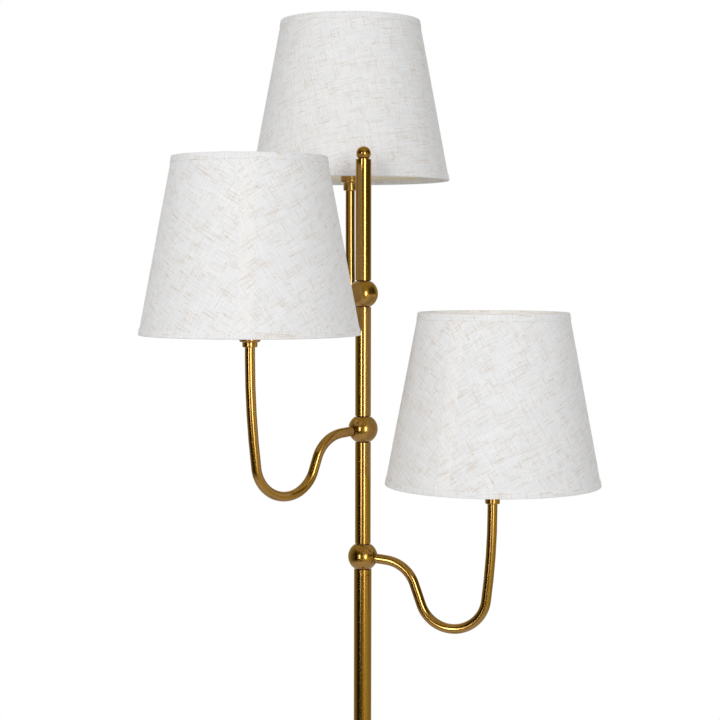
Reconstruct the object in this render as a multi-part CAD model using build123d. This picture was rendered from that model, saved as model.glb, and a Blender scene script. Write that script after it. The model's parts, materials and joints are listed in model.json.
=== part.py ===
from build123d import *
import os
from math import cos, radians, sin, sqrt

os.makedirs("parts", exist_ok=True)

# Tree floor lamp, millimetres, +Z up. The origin is the middle of the floor pad's underside.
# The pole stands on Z. Each arm swivels about the pole on its own ball.

# ---- base ----
BASE_R = 130.0
PAD_T = 3.0
PAD_INSET = 0.6
WEIGHT_T = 18.0
COVER_WALL = 1.2
COVER_SHOULDER_R = 8.0
COVER_GAP = 0.3
RECESS_R = 42.0
RECESS_DEPTH = 11.0
WASHER_R = 15.0
WASHER_T = 1.5
NUT_FLATS = 17.0
NUT_T = 6.0
COLLAR_R = 17.0
COLLAR_H = 18.0
COLLAR_LIP = 1.6
COLLAR_BEAD_H = 4.8
INLET_BORE_R = 3.5
INLET_BODY_R = 5.3
INLET_BODY_L = 12.0
INLET_FLANGE_R = 7.0
INLET_FLANGE_T = 1.5
INLET_FLANGE_EDGE = 0.5
CHANNEL_W = 11.0
CHANNEL_H = 12.0
TERMINAL_SIZE = (24.0, 15.0, 9.0)
TERMINAL_PLACE = (-29.0, 0.0)
TERMINAL_SCREW_R = 1.6
TERMINAL_SCREW_DEPTH = 2.0
TERMINAL_POLES = 3
TERMINAL_EDGE = 0.8

# ---- pole ----
STEM_R = 9.0
STEM_WALL = 1.5
POLE_R = 8.0
POLE_WALL = 1.5
STEM_JOINT_Z = 500.0
JOINT_RING_PROUD = 1.0
JOINT_RING_H = 8.0
FERRULE_H = 5.6
TUBE_EDGE = 0.3
PLUG_L = 14.0
NIPPLE_R = 5.0
NIPPLE_BORE_R = 3.5
NIPPLE_GRIP = 12.0
THREAD_GAP = 0.02
RUNNING_GAP = 0.05
SWIVEL_WASHER_R = 6.7
SWIVEL_WASHER_T = 0.6
SWIVEL_GAP = 0.04
WINDOW_H = 8.0
WINDOW_W = 7.0
POLE_FLEX_R = 3.1
POLE_TOP_Z = 1382.4
FINIAL_R = 7.5
FINIAL_NECK_R = 5.5
FINIAL_NECK_H = 0.6
FINIAL_STUD_R = 3.0
FINIAL_STUD_L = 10.0

# ---- arms: ball height, heading, leg and rise of the swan neck, shade lift, cup place, bare collar ----
# Headings are degrees anticlockwise from +X. Rise is the radius of the slow arc that brings the tube upright.
# Lift is from the ball's centre to the shade's lower edge, and cup place is the cup's bottom from there.
ARMS = {
    "low": dict(ball_z=980.0, heading=-15.0, leg=22.0, rise=700.0, lift=78.3, cup=-9.3, bare=9.9),
    "mid": dict(ball_z=1110.3, heading=215.5, leg=14.0, rise=820.0, lift=98.5, cup=-7.2, bare=4.9),
    "top": dict(ball_z=1247.3, heading=96.5, leg=22.0, rise=700.0, lift=119.8, cup=-2.4, bare=8.5),
}
REACH = 133.8
BALL_R = 15.0
ARM_R = 5.0
ARM_BORE_R = 4.0
ARM_START = 7.5
LEAVE = 6.0
STEEP = 70.5
LEAN = 7.5
SHOULDER_R = 34.7
BEND_R = 34.4
ENTRY_RING_W = 0.8
ENTRY_RING_DEPTH = 1.8
ARM_FLEX_R = 3.3
FLEX_START = 6.2

# ---- lamp holder ----
TUBE_COLLAR_R = 7.4
TUBE_COLLAR_L = 10.4
TUBE_COLLAR_EDGE = 1.2
CUP_R = 10.4
CUP_H = 20.0
CUP_WALL = 1.0
CUP_EDGE = 2.2
SEAT_GAP = 0.1
HOLDER_FOOT = 6.0
HOLDER_GRIP = 3.0
HOLDER_FLANGE_R = 12.0
HOLDER_FLANGE_T = 2.0
SKIRT_R = 13.0
SKIRT_L = 30.0
SOCKET_R = 7.55
SOCKET_FLOOR = 26.0
SHELL_WALL = 0.5
SHELL_L = 22.0
CONTACT_R = 2.2
CONTACT_H = 4.0
RING_NUT_R = 19.0
RING_NUT_T = 5.0
HUB_RIM = 2.5
HUB_T = 1.5
BULB_CAP_R = 6.8
BULB_CAP_L = 25.0
BULB_CAP_EDGE = 2.3
BULB_R = 22.5
BULB_NECK_GRIP = 2.0
BULB_L = 53.0
BULB_WALL = 1.0

# ---- shade ----
SHADE_BOTTOM_R = 107.0
SHADE_TOP_R = 74.5
SHADE_H = 171.5
COVER_T = 0.6
LINER_T = 0.8
GLUE_GAP = 0.1
HEM_T = 0.9
HEM_H = 7.0
HEM_TURN_H = 5.0
HEM_TURN_T = 0.4
WIRE_R = 1.2
HUB_LIFT = 34.0
SPOKES = 3
SPOKE_START = 60.0
SPOKE_SINK = 0.8
NOTCH_L = 4.8
NOTCH_W = 3.6


def save(name, *solids):
    shape = solids[0] if len(solids) == 1 else Compound(children=list(solids))
    export_step(shape, f"parts/{name}.step")


def post(radius, low, high):
    """Upright cylinder on Z between two heights."""
    return Pos(0, 0, low) * Cylinder(radius, high - low, align=(Align.CENTER, Align.CENTER, Align.MIN))


def pipe(outer, inner, low, high, edge=0.0):
    """Upright tube with its outer end edges broken."""
    body = post(outer, low, high)
    if edge:
        body = chamfer(body.edges().filter_by(GeomType.CIRCLE), edge)
    return body - post(inner, low - 1, high + 1)


def turned(*outline):
    """Solid turned about Z from an outline of (radius, height) points."""
    profile = make_face(Plane.XZ * Polyline(*outline, close=True))
    return revolve(profile, Axis.Z)


# ---------------------------------------------------------------- stand

weight_z = PAD_T
cover_top_z = PAD_T + WEIGHT_T + COVER_WALL
recess_z = PAD_T + RECESS_DEPTH
inlet_z = PAD_T + CHANNEL_H / 2
weight_r = BASE_R - COVER_WALL - COVER_GAP
# A ball's flats are as wide as the tube that meets them.
flat = sqrt(BALL_R**2 - POLE_R**2)
stem_flat = sqrt(BALL_R**2 - STEM_R**2)
tube_gap = SWIVEL_WASHER_T + SWIVEL_GAP
nipple_clear_r = NIPPLE_R + THREAD_GAP


def base_parts():
    save("base_pad", post(BASE_R - PAD_INSET, 0, PAD_T))

    weight = post(weight_r, weight_z, weight_z + WEIGHT_T)
    weight = fillet(weight.edges().group_by(Axis.Z)[-1], COVER_SHOULDER_R - COVER_WALL)
    channel = Box(CHANNEL_W, BASE_R, CHANNEL_H, align=(Align.CENTER, Align.MIN, Align.MIN))
    weight -= Pos(0, 0, weight_z) * channel
    weight -= post(RECESS_R, weight_z - 1, recess_z)
    weight -= post(NIPPLE_R + SEAT_GAP, 0, cover_top_z)
    save("base_weight", weight)

    cover = post(BASE_R, PAD_T, cover_top_z)
    cover = fillet(cover.edges().group_by(Axis.Z)[-1], COVER_SHOULDER_R)
    hollow = post(BASE_R - COVER_WALL, 0, cover_top_z - COVER_WALL)
    cover -= fillet(hollow.edges().group_by(Axis.Z)[-1], COVER_SHOULDER_R - COVER_WALL)
    cover -= post(NIPPLE_R + SEAT_GAP, 0, cover_top_z + 1)
    hole = Cylinder(INLET_BODY_R + SEAT_GAP, BASE_R, rotation=(90, 0, 0))
    cover -= Pos(0, BASE_R, inlet_z) * hole
    save("base_cover", cover)

    washer_z = recess_z - WASHER_T
    save("base_washer", pipe(WASHER_R, NIPPLE_R + SEAT_GAP, washer_z, recess_z))
    hexagon = RegularPolygon(NUT_FLATS / 2, 6, major_radius=False)
    nut = Pos(0, 0, washer_z - NUT_T) * extrude(hexagon, NUT_T)
    save("base_nut", nut - post(nipple_clear_r, 0, cover_top_z))

    body = Cylinder(INLET_BODY_R, INLET_BODY_L, align=(Align.CENTER, Align.CENTER, Align.MAX))
    flange = Cylinder(INLET_FLANGE_R, INLET_FLANGE_T, align=(Align.CENTER, Align.CENTER, Align.MIN))
    flange = chamfer(flange.edges().group_by(Axis.Z)[-1], INLET_FLANGE_EDGE)
    bush = body + flange - Cylinder(INLET_BORE_R, 3 * INLET_BODY_L)
    save("cord_inlet", Pos(0, BASE_R, inlet_z) * Rot(-90, 0, 0) * bush)

    block = Box(*TERMINAL_SIZE, align=(Align.CENTER, Align.CENTER, Align.MAX))
    block = chamfer(block.edges().filter_by(Axis.Z), TERMINAL_EDGE)
    screw = Pos(0, 0, -TERMINAL_SIZE[2]) * Cylinder(TERMINAL_SCREW_R, 2 * TERMINAL_SCREW_DEPTH)
    places = GridLocations(0, TERMINAL_SIZE[1] / TERMINAL_POLES, 1, TERMINAL_POLES)
    block -= [place * screw for place in places]
    save("terminal_block", Pos(*TERMINAL_PLACE, recess_z) * block)


def foot_collar():
    """Turned collar round the pole's foot, with a lip, a hollow flank and a small bead."""
    inner = STEM_R + SEAT_GAP
    low = cover_top_z
    high = low + COLLAR_H
    lip_z = low + COLLAR_LIP
    bead_z = high - COLLAR_BEAD_H
    neck_r = STEM_R + COLLAR_LIP
    hollow = (neck_r + COLLAR_LIP, lip_z + (bead_z - lip_z) / 3)
    flank = ThreePointArc((COLLAR_R - COLLAR_LIP, lip_z), hollow, (neck_r, bead_z))
    bead = ThreePointArc((neck_r, bead_z), (neck_r + COLLAR_LIP, (bead_z + high) / 2), (neck_r, high))
    foot = [(inner, high), (inner, low), (COLLAR_R, low), (COLLAR_R, lip_z)]
    rest = Polyline((neck_r, high), *foot, (COLLAR_R - COLLAR_LIP, lip_z))
    outline = Curve() + [flank, bead, rest]
    save("foot_collar", revolve(make_face(Plane.XZ * outline), Axis.Z))


def nipple(middle_z, half, heading=None):
    """Hollow threaded nipple, with a window where a flex leaves it for an arm."""
    body = pipe(NIPPLE_R, NIPPLE_BORE_R, middle_z - half, middle_z + half)
    if heading is not None:
        window = Box(NIPPLE_R, WINDOW_W, WINDOW_H, align=(Align.MIN, Align.CENTER, Align.CENTER))
        body -= Pos(0, 0, middle_z) * Rot(0, 0, heading) * window
    return body


def pole_parts():
    balls = [arm["ball_z"] for arm in ARMS.values()]
    low_ball, mid_ball, top_ball = balls
    stem_top = low_ball - stem_flat - tube_gap - FERRULE_H
    bore, stem_bore = POLE_R - POLE_WALL, STEM_R - STEM_WALL
    rings = (STEM_JOINT_Z - JOINT_RING_H / 2, STEM_JOINT_Z + JOINT_RING_H / 2)

    save("lower_stem", pipe(STEM_R, stem_bore, cover_top_z, rings[0]))
    ring = post(STEM_R + JOINT_RING_PROUD, *rings)
    ring = fillet(ring.edges().filter_by(GeomType.CIRCLE), JOINT_RING_PROUD)
    save("stem_joint_ring", ring - post(nipple_clear_r, rings[0] - 1, rings[1] + 1))
    save("upper_stem", pipe(STEM_R, stem_bore, rings[1], stem_top, TUBE_EDGE))
    save("ferrule", pipe(STEM_R, nipple_clear_r, stem_top, stem_top + FERRULE_H, TUBE_EDGE))

    spans = {
        "section_low": (low_ball + flat + tube_gap, mid_ball - flat - tube_gap),
        "section_mid": (mid_ball + flat + tube_gap, top_ball - flat - tube_gap),
        "section_top": (top_ball + flat + tube_gap, POLE_TOP_Z),
    }
    for name, (low, high) in spans.items():
        save(name, pipe(POLE_R, bore, low, high, TUBE_EDGE))

    stem_plugs = [(cover_top_z, 1), (rings[0], -1), (rings[1], 1), (stem_top, -1)]
    ends = [(low, 1) for low, _ in spans.values()] + [(high, -1) for _, high in spans.values()]
    plugs = [plug(stem_bore, nipple_clear_r, z, way) for z, way in stem_plugs]
    plugs += [plug(bore, nipple_clear_r, z, way) for z, way in ends[:-1]]
    plugs.append(plug(bore, FINIAL_STUD_R + THREAD_GAP, *ends[-1]))
    save("tube_plugs", *plugs)

    foot_low = recess_z - WASHER_T - NUT_T - THREAD_GAP
    foot_half = (cover_top_z + NIPPLE_GRIP - foot_low) / 2
    joint_half = JOINT_RING_H / 2 + NIPPLE_GRIP
    save("stem_nipples", nipple(foot_low + foot_half, foot_half), nipple(STEM_JOINT_Z, joint_half))
    half = flat + tube_gap + NIPPLE_GRIP
    save("ball_nipples", *[nipple(arm["ball_z"], half, arm["heading"]) for arm in ARMS.values()])

    washers = []
    for ball_z in balls:
        under = stem_flat if ball_z == low_ball else flat
        for low in (ball_z - under - tube_gap, ball_z + flat + SWIVEL_GAP):
            washers.append(pipe(SWIVEL_WASHER_R, NIPPLE_R + SEAT_GAP, low, low + SWIVEL_WASHER_T))
    save("swivel_washers", *washers)
    save("pole_flex", post(POLE_FLEX_R, foot_low, top_ball))

    drop = sqrt(FINIAL_R**2 - FINIAL_NECK_R**2)
    ball_z = POLE_TOP_Z + FINIAL_NECK_H + drop
    knob = Pos(0, 0, ball_z) * Sphere(FINIAL_R) - post(FINIAL_R, ball_z - FINIAL_R, ball_z - drop)
    neck = post(FINIAL_NECK_R, POLE_TOP_Z, ball_z - drop)
    stud = post(FINIAL_STUD_R, POLE_TOP_Z - FINIAL_STUD_L, POLE_TOP_Z)
    save("finial", knob + neck + stud)


def plug(radius, hole, end_z, way):
    """Threaded plug inside a tube end; way is +1 where the tube runs up from the end."""
    low, high = sorted((end_z, end_z + way * PLUG_L))
    return pipe(radius, hole, low, high)


# ---------------------------------------------------------------- arms


def arm_route(arm, start):
    """Swan neck in the XZ plane from the ball's centre: down, round under the holder and up into it."""
    runs = SHOULDER_R * (sin(radians(STEEP)) - sin(radians(LEAVE))) + arm["leg"] * cos(radians(STEEP))
    runs += BEND_R * (cos(radians(LEAN)) + sin(radians(STEEP))) + arm["rise"] * (1 - cos(radians(LEAN)))
    lead = (REACH - runs) / cos(radians(LEAVE))
    heading = Vector(cos(radians(LEAVE)), -sin(radians(LEAVE)))
    first = Line(heading * start, heading * lead)
    shoulder = JernArc(first @ 1, first % 1, SHOULDER_R, LEAVE - STEEP)
    leg = Line(shoulder @ 1, shoulder @ 1 + (shoulder % 1) * arm["leg"])
    bend = JernArc(leg @ 1, leg % 1, BEND_R, STEEP + 90 - LEAN)
    lean = JernArc(bend @ 1, bend % 1, arm["rise"], LEAN)
    tube_end = arm["lift"] + arm["cup"] + HOLDER_FOOT + HOLDER_GRIP
    rise = Line(lean @ 1, (REACH, tube_end))
    return Plane.XZ * (Curve() + [first, shoulder, leg, bend, lean, rise])


def swept(route, outer, inner=0.0):
    face = Circle(outer) - Circle(inner) if inner else Circle(outer)
    start = Plane(origin=route @ 0, x_dir=(0, 1, 0), z_dir=route % 0)
    return sweep(start * face, path=route)


def ball(arm):
    """Ball with flats, a running bore for the nipple and a slanting socket for the arm."""
    under = stem_flat if arm is ARMS["low"] else flat
    body = Sphere(BALL_R) & post(BALL_R + 1, -under, flat)
    body -= post(NIPPLE_R + RUNNING_GAP, -BALL_R, BALL_R)
    along = (Align.CENTER, Align.CENTER, Align.MIN)
    socket = Pos(0, 0, ARM_START) * Cylinder(ARM_R + THREAD_GAP, BALL_R, align=along)
    passage = Cylinder(ARM_BORE_R, BALL_R, align=along)
    ring = Pos(0, 0, BALL_R - ENTRY_RING_DEPTH) * Cylinder(ARM_R + ENTRY_RING_W, BALL_R, align=along)
    return body - Rot(0, 90 + LEAVE, 0) * (socket + passage + ring)


def holder_parts(arm, put):
    """Collar, cup, holder body, contacts, ring nuts and bulb, from the cup's bottom up."""
    cup_z = arm["lift"] + arm["cup"]
    clear_r = ARM_R + THREAD_GAP

    collar_z = cup_z - arm["bare"]
    collar = post(TUBE_COLLAR_R, collar_z, collar_z + TUBE_COLLAR_L)
    collar = fillet(collar.edges().group_by(Axis.Z)[0], TUBE_COLLAR_EDGE)
    put("tube_collar", collar - post(clear_r, collar_z - 1, collar_z + TUBE_COLLAR_L + 1))

    cup = post(CUP_R, cup_z, cup_z + CUP_H)
    cup = fillet(cup.edges().group_by(Axis.Z)[0], CUP_EDGE)
    hollow = post(CUP_R - CUP_WALL, cup_z + CUP_WALL, cup_z + CUP_H + 1)
    cup -= fillet(hollow.edges().group_by(Axis.Z)[0], CUP_EDGE - CUP_WALL)
    put("cup", cup - post(TUBE_COLLAR_R + SEAT_GAP, cup_z - 1, cup_z + CUP_H))

    flange_z, skirt_z = cup_z + CUP_H, cup_z + CUP_H + HOLDER_FLANGE_T
    body = post(CUP_R - CUP_WALL - SEAT_GAP, cup_z + HOLDER_FOOT, flange_z)
    body += post(HOLDER_FLANGE_R, flange_z, skirt_z) + post(SKIRT_R, skirt_z, skirt_z + SKIRT_L)
    body -= post(clear_r, cup_z, cup_z + HOLDER_FOOT + HOLDER_GRIP)
    body -= post(ARM_BORE_R, cup_z, cup_z + SOCKET_FLOOR - 2 * CONTACT_H)
    body -= post(SOCKET_R, cup_z + SOCKET_FLOOR, skirt_z + SKIRT_L + 1)
    put("holder", body)

    floor_z = cup_z + SOCKET_FLOOR
    shell_r = SOCKET_R - SEAT_GAP
    shell = pipe(shell_r, shell_r - SHELL_WALL, floor_z, floor_z + SHELL_L)
    put("contacts", shell, post(CONTACT_R, floor_z, floor_z + CONTACT_H))

    hub_z = arm["lift"] + HUB_LIFT
    nut = pipe(RING_NUT_R, SKIRT_R + THREAD_GAP, 0, RING_NUT_T)
    put("ring_nuts", Pos(0, 0, hub_z - RING_NUT_T) * nut, Pos(0, 0, hub_z + HUB_T) * nut)

    cap_z = floor_z + CONTACT_H
    cap = post(BULB_CAP_R, cap_z, cap_z + BULB_CAP_L)
    put("bulb_cap", chamfer(cap.edges().group_by(Axis.Z)[0], BULB_CAP_EDGE))
    glass_z = cap_z + BULB_CAP_L - BULB_NECK_GRIP
    globe_z = glass_z + BULB_L - BULB_R
    neck_r = BULB_CAP_R + THREAD_GAP
    glass = bulb_form(BULB_R, neck_r + BULB_WALL, glass_z, globe_z)
    glass -= bulb_form(BULB_R - BULB_WALL, neck_r, glass_z, globe_z)
    put("bulb_glass", glass)


def bulb_form(radius, neck_r, low, globe_z):
    """Globe on a straight neck."""
    return Pos(0, 0, globe_z) * Sphere(radius) + post(neck_r, low, globe_z)


def wall_point(depth, height):
    """Point of a shade's section: depth is measured inwards from the cover's outside."""
    slope = (SHADE_BOTTOM_R - SHADE_TOP_R) / SHADE_H
    return (SHADE_BOTTOM_R - slope * height - depth, height)


def band(near, far, low, high):
    """Ring that follows the shade's slope, between two depths and two heights."""
    corners = [wall_point(near, low), wall_point(near, high), wall_point(far, high), wall_point(far, low)]
    return turned(*corners)


def wire(start, end):
    """Straight wire between two points."""
    run = Vector(*end) - Vector(*start)
    face = Plane(origin=start, z_dir=run) * Circle(WIRE_R)
    return extrude(face, run.length)


def shade_parts(arm, put):
    """Cover with its two folded hems, liner, and a wire carrier with a loose top ring."""
    liner_near = COVER_T + GLUE_GAP
    liner_far = liner_near + LINER_T
    wire_depth = liner_far + GLUE_GAP + WIRE_R
    turn_near = wire_depth + WIRE_R + GLUE_GAP
    turn_far = turn_near + HEM_TURN_T
    ring_z = HEM_T + GLUE_GAP + WIRE_R

    lifted = Pos(0, 0, arm["lift"])
    liner = band(liner_near, liner_far, HEM_T + GLUE_GAP, SHADE_H - HEM_T - GLUE_GAP)
    put("shade_liner", lifted * liner)

    cover = band(0, COVER_T, HEM_T + GLUE_GAP, SHADE_H - HEM_T - GLUE_GAP)
    hems = [
        hem(turn_near, turn_far, 0.0, HEM_T, HEM_H, HEM_TURN_H),
        hem(turn_near, turn_far, SHADE_H, SHADE_H - HEM_T, SHADE_H - HEM_H, SHADE_H - HEM_TURN_H),
    ]

    hub_z = HUB_LIFT
    hub_r = RING_NUT_R + HUB_RIM
    ring_r = wall_point(wire_depth, ring_z)[0]
    carrier = pipe(hub_r, SKIRT_R + SEAT_GAP, hub_z, hub_z + HUB_T)
    carrier += Pos(0, 0, ring_z) * Torus(ring_r, WIRE_R)
    for turn in range(SPOKES):
        spoke = wire((hub_r - SPOKE_SINK, 0, hub_z + HUB_T / 2), (ring_r, 0, ring_z))
        aside = Rot(0, 0, SPOKE_START + turn * 360 / SPOKES)
        carrier += aside * spoke
        notch = Box(NOTCH_L, NOTCH_W, HEM_TURN_H, align=(Align.CENTER, Align.CENTER, Align.MIN))
        hems[0] -= aside * Pos(ring_r - NOTCH_L / 2, 0, HEM_T + GLUE_GAP / 2) * notch
    top_z = SHADE_H - ring_z
    top_ring = Pos(0, 0, top_z) * Torus(wall_point(wire_depth, top_z)[0], WIRE_R)
    put("shade_cover", lifted * cover, *[lifted * piece for piece in hems])
    put("shade_frame", lifted * carrier, lifted * top_ring)


def hem(turn_near, turn_far, edge, web, outside, inside):
    """Folded edge strip: a leg outside the cover, a web past the edge and a shorter leg inside the wire."""
    outline = [
        wall_point(-HEM_T, outside),
        wall_point(-HEM_T, edge),
        wall_point(turn_far, edge),
        wall_point(turn_far, inside),
        wall_point(turn_near, inside),
        wall_point(turn_near, web),
        wall_point(-GLUE_GAP / 2, web),
        wall_point(-GLUE_GAP / 2, outside),
    ]
    return turned(*outline)


def arm_parts(name, arm):
    at_ball = Pos(0, 0, arm["ball_z"]) * Rot(0, 0, arm["heading"])

    def put(piece, *solids):
        save(f"{piece}_{name}", *[at_ball * solid for solid in solids])

    def put_at_reach(piece, *solids):
        put(piece, *[Pos(REACH, 0, 0) * solid for solid in solids])

    put("ball", ball(arm))
    put("arm_tube", swept(arm_route(arm, ARM_START), ARM_R, ARM_BORE_R))
    put("arm_flex", swept(arm_route(arm, FLEX_START), ARM_FLEX_R))
    holder_parts(arm, put_at_reach)
    shade_parts(arm, put_at_reach)


base_parts()
foot_collar()
pole_parts()
for arm_name, arm_values in ARMS.items():
    arm_parts(arm_name, arm_values)
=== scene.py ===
import json
import math

import bmesh
import bpy
from mathutils import Matrix, Vector, noise


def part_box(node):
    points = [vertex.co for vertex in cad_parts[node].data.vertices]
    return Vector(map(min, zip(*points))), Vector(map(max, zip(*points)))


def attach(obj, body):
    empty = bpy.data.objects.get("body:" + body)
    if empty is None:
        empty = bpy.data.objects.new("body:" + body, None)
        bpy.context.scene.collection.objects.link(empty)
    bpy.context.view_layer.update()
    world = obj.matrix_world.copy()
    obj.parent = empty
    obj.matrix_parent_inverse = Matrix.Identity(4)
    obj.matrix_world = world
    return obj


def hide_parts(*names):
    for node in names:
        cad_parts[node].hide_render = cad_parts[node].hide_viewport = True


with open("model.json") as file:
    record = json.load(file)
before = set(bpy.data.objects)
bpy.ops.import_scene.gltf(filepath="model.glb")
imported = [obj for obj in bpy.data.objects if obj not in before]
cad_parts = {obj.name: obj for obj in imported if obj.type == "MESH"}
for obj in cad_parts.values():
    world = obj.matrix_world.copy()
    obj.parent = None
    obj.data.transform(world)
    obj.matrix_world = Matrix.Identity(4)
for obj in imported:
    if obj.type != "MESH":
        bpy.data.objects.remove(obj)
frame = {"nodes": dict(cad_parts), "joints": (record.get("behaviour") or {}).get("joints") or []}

bl_info = {
    "name": "Tree floor lamp",
    "version": (1, 0, 0),
    "blender": (4, 5, 0),
    "location": "3D View > Sidebar > Tree Lamp",
    "description": "Models a tree floor lamp's linen shades and swan necks and finishes its metal",
    "category": "Object",
}

ARMS = ("low", "mid", "top")
MM = 0.001
AROUND = 240  # segments round a shade
BRUSH_DEPTH = 0.000001  # depth of the brushed lines in the brass, in metres
MIX_FACTOR, MIX_A, MIX_B, MIX_RESULT = 0, 6, 7, 2  # the sockets of a Mix node that mixes colours
BALL_Z = {joint["child"][4:]: joint["pos_m"][2] for joint in frame["joints"]}


def centre_of(node):
    """Middle of a CAD node's box, seen from above, as (x, y)."""
    low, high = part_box(node)
    return (low.x + high.x) / 2, (low.y + high.y) / 2


# ---------------------------------------------------------------- sizes and colours


def size(name, default, about):
    return bpy.props.FloatProperty(
        name=name, description=about, default=default, unit="LENGTH", precision=5
    )


def turn(name, degrees, about):
    return bpy.props.FloatProperty(
        name=name, description=about, default=math.radians(degrees), subtype="ANGLE", unit="ROTATION"
    )


def level(name, default, about):
    return bpy.props.FloatProperty(name=name, description=about, default=default, min=0.0)


def tint(name, default, about):
    return bpy.props.FloatVectorProperty(
        name=name, description=about, default=default, size=3, subtype="COLOR", min=0.0, max=1.0
    )


class ShadeSizes(bpy.types.PropertyGroup):
    bottom_radius: size("Bottom radius", 0.107, "Outside of the cloth at the lower edge")
    top_radius: size("Top radius", 0.0745, "Outside of the cloth at the upper edge")
    height: size("Height", 0.1715, "From the lower edge to the upper edge")
    cloth: size("Cloth", 0.0006, "Thickness of the linen")
    hem_height: size("Hem height", 0.007, "Outside leg of the folded edge strip")
    hem_turn: size("Hem turn", 0.005, "Inside leg of the folded edge strip")
    hem_proud: size("Hem proud", 0.0006, "How far the strip stands off the cloth")
    hem_reach: size("Hem reach", 0.0045, "How far in from the cloth the inside leg lies")
    seam_width: size("Seam width", 0.0148, "Width of the glued overlap")
    seam_proud: size("Seam proud", 0.00035, "Thickness that the overlap adds")
    seam_low: turn("Right seam", -121.0, "Where the right shade's overlap is, from +X")
    seam_mid: turn("Left seam", -88.0, "Where the left shade's overlap is, from +X")
    seam_top: turn("Top seam", 153.0, "Where the top shade's overlap is, from +X")


class ArmSizes(bpy.types.PropertyGroup):
    tube_radius: size("Tube radius", 0.005, "Outside of the swan neck tube")
    tube_wall: size("Tube wall", 0.001, "Wall of the swan neck tube")
    start: size("Start", 0.0075, "Where the tube starts, from the ball's centre")
    reach: size("Reach", 0.1338, "From the pole's axis to the lamp holder's axis")
    leave: turn("Leave", 6.0, "Fall of the first run, as it leaves the ball")
    steep_low: turn("Right steep", 70.5, "Fall of the right arm's leg")
    steep_mid: turn("Left steep", 70.5, "Fall of the left arm's leg")
    steep_top: turn("Top steep", 60.0, "Fall of the top arm's leg")
    lean: turn("Lean", 7.5, "Lean of the rising run where the bend ends")
    shoulder_radius: size("Shoulder", 0.0347, "Radius of the arc that turns the tube down")
    bend_radius: size("Bend", 0.0344, "Radius of the arc under the holder")
    leg_low: size("Right leg", 0.022, "Straight leg of the right arm")
    leg_mid: size("Left leg", 0.014, "Straight leg of the left arm")
    leg_top: size("Top leg", 0.0005, "Straight leg of the top arm")
    rise_low: size("Right rise", 0.7, "Radius of the slow arc that brings the right arm upright")
    rise_mid: size("Left rise", 0.82, "Radius of the slow arc that brings the left arm upright")
    rise_top: size("Top rise", 0.7, "Radius of the slow arc that brings the top arm upright")


class LinenColours(bpy.types.PropertyGroup):
    ground: tint("Ground", (0.895, 0.895, 0.90), "Bleached yarn")
    ground_doubled: tint("Doubled ground", (0.925, 0.915, 0.905), "Bleached yarn, two layers deep")
    slub: tint("Slub", (0.74, 0.66, 0.57), "Thick unbleached stretches of yarn")
    knot: tint("Knot", (0.50, 0.34, 0.22), "Bits of stalk spun into the yarn")
    pitch: size("Thread pitch", 0.0006, "Distance between two threads")
    slub_amount: level("Slub amount", 0.72, "How strongly the slubs are coloured")
    knot_amount: level("Knot amount", 0.7, "How strongly the knots are coloured")


class MetalColours(bpy.types.PropertyGroup):
    brass: tint("Brass", (0.46, 0.25, 0.052), "Darkened brass under its lacquer")
    brass_dark: tint("Dark brass", (0.37, 0.19, 0.036), "Brass where the darkening is deepest")
    zinc: tint("Zinc plate", (0.50, 0.50, 0.50), "Plated nuts, nipples and plugs")
    nickel: tint("Nickel plate", (0.62, 0.58, 0.52), "Bulb caps")
    iron: tint("Iron", (0.045, 0.045, 0.048), "Cast weight in the base")


class StageSettings(bpy.types.PropertyGroup):
    camera_x: size("Camera X", 0.01056, "Camera's place")
    camera_y: size("Camera Y", -1.7202, "Camera's place")
    camera_z: size("Camera Z", 1.2787, "Camera's place")
    yaw: turn("Yaw", -0.458, "Camera's turn to the right")
    pitch: turn("Pitch", -3.277, "Camera's tilt up")
    roll: turn("Roll", 0.10, "Camera's roll")
    lens: bpy.props.FloatProperty(name="Lens", description="Focal length in millimetres", default=85.14)
    ambient: level("Ambient", 0.46, "Light that the room sends from all sides")
    key: level("Key", 27.5, "Strength of the soft light at the left, in watts")
    floor: tint("Floor", (0.78, 0.78, 0.775), "Pale floor")
    room: tint("Room", (1.0, 0.9, 0.35), "Tint of the room that the metal mirrors")
    box: level("Boxes", 12.0, "Brightness of the two boxes that the metal mirrors")


# ---------------------------------------------------------------- node helpers


def fill(tree, made, values):
    """Sets a node's sockets: a socket is linked, anything else becomes the value."""
    for key, value in values.items():
        socket = made.inputs[key]
        if isinstance(value, bpy.types.NodeSocket):
            tree.links.new(value, socket)
        elif socket.type == "RGBA" and len(value) == 3:
            socket.default_value = (*value, 1.0)
        else:
            socket.default_value = value


def add(tree, kind, values=None, **options):
    """Adds a node, with its options and its sockets."""
    made = tree.nodes.new(kind)
    for key, value in options.items():
        setattr(made, key, value)
    fill(tree, made, values or {})
    return made


def calc(tree, operation, *values, clamp=False):
    """One math node; returns its output."""
    made = add(tree, "ShaderNodeMath", dict(enumerate(values)), operation=operation, use_clamp=clamp)
    return made.outputs[0]


def step(tree, value, low, high):
    """Smooth step from 0 at low to 1 at high."""
    values = {"Value": value, "From Min": low, "From Max": high, "To Min": 0.0, "To Max": 1.0}
    return add(tree, "ShaderNodeMapRange", values, interpolation_type="SMOOTHSTEP").outputs["Result"]


def between(tree, value, low, high, soft):
    """1 between low and high, with soft edges."""
    rise = step(tree, value, low - soft, low + soft)
    fall = step(tree, value, high + soft, high - soft)
    return calc(tree, "MULTIPLY", rise, fall)


def blend_colour(tree, factor, first, second, mode="MIX"):
    """Mixes two colours; returns the result."""
    made = add(tree, "ShaderNodeMix", data_type="RGBA", blend_type=mode)
    fill(tree, made, {MIX_FACTOR: factor, MIX_A: first, MIX_B: second})
    return made.outputs[MIX_RESULT]


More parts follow.
